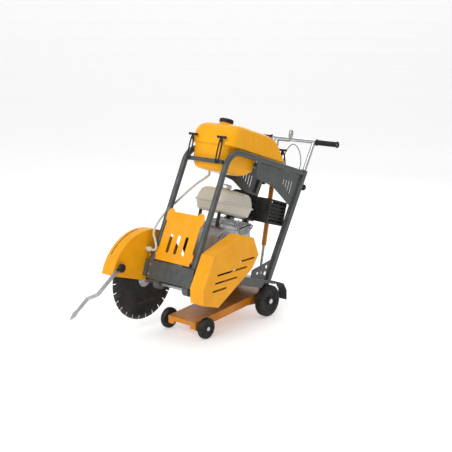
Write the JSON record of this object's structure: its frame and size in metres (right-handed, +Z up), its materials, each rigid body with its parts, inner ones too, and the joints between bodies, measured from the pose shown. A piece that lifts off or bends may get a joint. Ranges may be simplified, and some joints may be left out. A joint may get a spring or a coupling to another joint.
{
  "type": "walk-behind concrete saw",
  "caption": "Walk-behind floor saw with a petrol engine, belt-driven diamond blade, water tank, depth spindle and folding pointer on a tilting wheeled frame.",
  "frame": {"origin": "centre of the bounding box on the ground", "axes": "+X to the operator's left, +Y back towards the operator, +Z up"},
  "size_m": [0.623, 1.5872, 1.1373],
  "materials": {
    "yellow_paint": "satin",
    "orange_paint": "satin",
    "grey_paint": "satin",
    "cream_paint": "gloss",
    "black_paint": "matt",
    "zinc": "bright zinc",
    "steel": "machined",
    "blade_steel": "dark coated",
    "cast_alloy": "as cast",
    "cast_iron": "painted cast",
    "tank_plastic": "moulded",
    "black_plastic": "moulded",
    "tyre_rubber": "moulded",
    "black_rubber": "matt",
    "clear_hose": "translucent"
  },
  "bodies": {
    "undercarriage": {"carriage_plate": "orange_paint", "front_axle": "zinc", "rear_axle": "zinc"},
    "front_wheel_left": {"front_wheel_left": "tyre_rubber"},
    "front_wheel_right": {"front_wheel_right": "tyre_rubber"},
    "rear_wheel_left": {"rear_tyre_left": "tyre_rubber", "rear_hub_left": "black_plastic"},
    "rear_wheel_right": {"rear_tyre_right": "tyre_rubber", "rear_hub_right": "black_plastic"},
    "main_frame": {"front_beam": "grey_paint", "base_frame": "grey_paint", "side_tube_left": "grey_paint", "side_tube_right": "grey_paint", "upright_left": "grey_paint", "upright_right": "grey_paint", "side_panel_left": "grey_paint", "side_panel_right": "grey_paint", "gusset_left": "grey_paint", "gusset_right": "grey_paint", "fender_left": "black_paint", "fender_right": "black_paint", "tank_bar_front": "grey_paint", "tank_bar_rear": "grey_paint", "front_panel": "yellow_paint", "engine_crankcase": "cast_alloy", "engine_cylinder": "cast_alloy", "fuel_tank": "cream_paint", "recoil_starter": "black_plastic", "air_filter": "black_plastic", "muffler_guard": "black_paint", "water_tank": "tank_plastic", "strap_front_left": "black_rubber", "strap_front_right": "black_rubber", "strap_rear_left": "black_rubber", "strap_rear_right": "black_rubber", "bearing_left": "cast_iron", "bearing_right": "cast_iron", "belt_guard": "yellow_paint", "blade_guard": "yellow_paint", "guard_bracket": "grey_paint", "hose_coupling": "clear_hose", "water_hose": "clear_hose", "v_belt": "black_rubber"},
    "handle": {"handlebar": "zinc", "grip_left": "black_rubber", "grip_right": "black_rubber"},
    "clamp_knob_left": {"clamp_knob_left": "black_plastic"},
    "clamp_knob_right": {"clamp_knob_right": "black_plastic"},
    "tank_cap": {"tank_cap": "black_plastic"},
    "fuel_cap": {"fuel_cap": "zinc"},
    "recoil_handle": {"recoil_handle": "black_plastic"},
    "blade_arbor": {"blade_shaft": "steel", "flange_nut": "steel", "saw_blade": "blade_steel"},
    "engine_shaft": {"engine_pulley": "steel"},
    "pointer": {"pointer_arm": "steel", "pointer_knob": "black_plastic"},
    "spindle": {"spindle_tube": "orange_paint"},
    "spindle_rod": {"spindle_rod": "steel"},
    "depth_crank": {"depth_crank": "steel"}
  },
  "joints": [
    {"name": "frame_tilt", "type": "hinge", "parent": "undercarriage", "child": "main_frame", "pos_m": [0, 0.32951, 0.09], "axis": [1, 0, 0], "range_deg": [0, 21]},
    {"name": "spindle_swing", "type": "hinge", "parent": "main_frame", "child": "spindle", "pos_m": [0, 0.57435, 0.74647], "axis": [1, 0, 0], "range_deg": [0, 1.05]},
    {"name": "spindle_slide", "type": "slide", "parent": "spindle", "child": "spindle_rod", "axis": [0, -0.2038, -0.979], "range_m": [0, 0.041]},
    {"name": "crank_turn", "type": "hinge", "parent": "spindle", "child": "depth_crank", "pos_m": [0, 0.6196, 0.96381], "axis": [0, 0.2038, 0.979], "continuous": true},
    {"name": "handle_slide", "type": "slide", "parent": "main_frame", "child": "handle", "axis": [0, 0.506, 0.8625], "range_m": [-0.14, 0.12]},
    {"name": "blade_spin", "type": "hinge", "parent": "main_frame", "child": "blade_arbor", "pos_m": [0, -0.27537, 0.28653], "axis": [1, 0, 0], "continuous": true},
    {"name": "engine_spin", "type": "hinge", "parent": "main_frame", "child": "engine_shaft", "pos_m": [0, 0.02955, 0.44507], "axis": [1, 0, 0], "continuous": true},
    {"name": "pointer_fold", "type": "hinge", "parent": "main_frame", "child": "pointer", "pos_m": [-0.18, -0.48463, 0.39974], "axis": [1, 0, 0], "range_deg": [-140, 20]},
    {"name": "recoil_pull", "type": "slide", "parent": "main_frame", "child": "recoil_handle", "axis": [-0.62, 0.589, 0.5184], "range_m": [0, 0.45], "stiffness_N_per_m": 20},
    {"name": "tank_cap_turn", "type": "hinge", "parent": "main_frame", "child": "tank_cap", "pos_m": [0, 0.15429, 1.11375], "axis": [0, 0.309, 0.9511], "continuous": true},
    {"name": "fuel_cap_turn", "type": "hinge", "parent": "main_frame", "child": "fuel_cap", "pos_m": [-0.022, 0.18062, 0.74822], "axis": [0, 0.309, 0.9511], "continuous": true},
    {"name": "front_spin_left", "type": "hinge", "parent": "undercarriage", "child": "front_wheel_left", "pos_m": [0.1345, -0.17249, 0.057], "axis": [1, 0, 0], "continuous": true},
    {"name": "rear_spin_left", "type": "hinge", "parent": "undercarriage", "child": "rear_wheel_left", "pos_m": [0.155, 0.32951, 0.09], "axis": [1, 0, 0], "continuous": true},
    {"name": "clamp_turn_left", "type": "hinge", "parent": "main_frame", "child": "clamp_knob_left", "pos_m": [0.145, 0.63753, 0.71227], "axis": [0, 0.8625, -0.506], "continuous": true},
    {"name": "front_spin_right", "type": "hinge", "parent": "undercarriage", "child": "front_wheel_right", "pos_m": [-0.1345, -0.17249, 0.057], "axis": [1, 0, 0], "continuous": true},
    {"name": "rear_spin_right", "type": "hinge", "parent": "undercarriage", "child": "rear_wheel_right", "pos_m": [-0.155, 0.32951, 0.09], "axis": [1, 0, 0], "continuous": true},
    {"name": "clamp_turn_right", "type": "hinge", "parent": "main_frame", "child": "clamp_knob_right", "pos_m": [-0.145, 0.63753, 0.71227], "axis": [0, 0.8625, -0.506], "continuous": true}
  ],
  "couplings": [
    {"joint": "spindle_swing", "follows": "frame_tilt", "ratio": 0.04994},
    {"joint": "spindle_slide", "follows": "frame_tilt", "m_per_rad": 0.11184},
    {"joint": "engine_spin", "follows": "blade_spin", "ratio": 1.3571}
  ]
}
